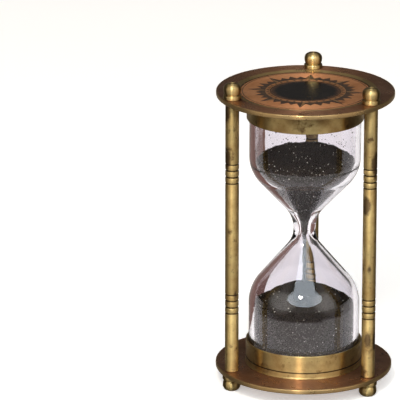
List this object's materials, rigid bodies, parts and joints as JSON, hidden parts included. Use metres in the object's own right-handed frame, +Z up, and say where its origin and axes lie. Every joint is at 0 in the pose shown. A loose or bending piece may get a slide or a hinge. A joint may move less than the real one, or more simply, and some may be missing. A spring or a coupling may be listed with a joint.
{
  "type": "hourglass",
  "caption": "Sand timer: a blown double-bulb glass of dark sand held between round brass plates by turned pillars, with ball nuts as finials and feet.",
  "frame": {"origin": "on the standing surface, under the axis of the glass", "axes": "+Z up along the glass's axis, +Y towards the single back pillar, +X to the right seen from the two front pillars"},
  "size_m": [0.083, 0.083, 0.15],
  "materials": {
    "browned_copper": "polished brass with a worn copper-brown patina",
    "dial_copper": "polished, brighter orange copper, etched",
    "antique_brass": "turned and polished with brown antique staining",
    "black_enamel": "glossy black enamel",
    "glass": "clear blown glass with a faint lavender tint",
    "sand": "coarse dark grey iron sand with bright grains",
    "cork": "natural cork"
  },
  "bodies": {
    "stand": {"top_plate": "browned_copper", "base_plate": "browned_copper", "top_dial": "dial_copper", "base_dial": "dial_copper", "top_enamel": "black_enamel", "base_enamel": "black_enamel", "pillar_back": "antique_brass", "pillar_left": "antique_brass", "pillar_right": "antique_brass", "upper_cup": "antique_brass", "lower_cup": "antique_brass", "upper_pad": "cork", "lower_pad": "cork", "glass_bulb": "glass", "glass_stopper": "cork", "upper_sand": "sand", "lower_sand": "sand", "sand_stream": "sand"},
    "finial_back": {"finial_back": "antique_brass"},
    "finial_left": {"finial_left": "antique_brass"},
    "finial_right": {"finial_right": "antique_brass"},
    "foot_back": {"foot_back": "antique_brass"},
    "foot_left": {"foot_left": "antique_brass"},
    "foot_right": {"foot_right": "antique_brass"}
  },
  "joints": [
    {"name": "finial_back_thread", "type": "hinge", "parent": "stand", "child": "finial_back", "pos_m": [0, 0.037, 0.1426], "axis": [0, 0, 1], "range_deg": [0, 2340]},
    {"name": "finial_left_thread", "type": "hinge", "parent": "stand", "child": "finial_left", "pos_m": [-0.03204, -0.0185, 0.1426], "axis": [0, 0, 1], "range_deg": [0, 2340]},
    {"name": "finial_right_thread", "type": "hinge", "parent": "stand", "child": "finial_right", "pos_m": [0.03204, -0.0185, 0.1426], "axis": [0, 0, 1], "range_deg": [0, 2340]},
    {"name": "foot_back_thread", "type": "hinge", "parent": "stand", "child": "foot_back", "pos_m": [0, 0.037, 0.0074], "axis": [0, 0, -1], "range_deg": [0, 2340]},
    {"name": "foot_left_thread", "type": "hinge", "parent": "stand", "child": "foot_left", "pos_m": [-0.03204, -0.0185, 0.0074], "axis": [0, 0, -1], "range_deg": [0, 2340]},
    {"name": "foot_right_thread", "type": "hinge", "parent": "stand", "child": "foot_right", "pos_m": [0.03204, -0.0185, 0.0074], "axis": [0, 0, -1], "range_deg": [0, 2340]}
  ]
}
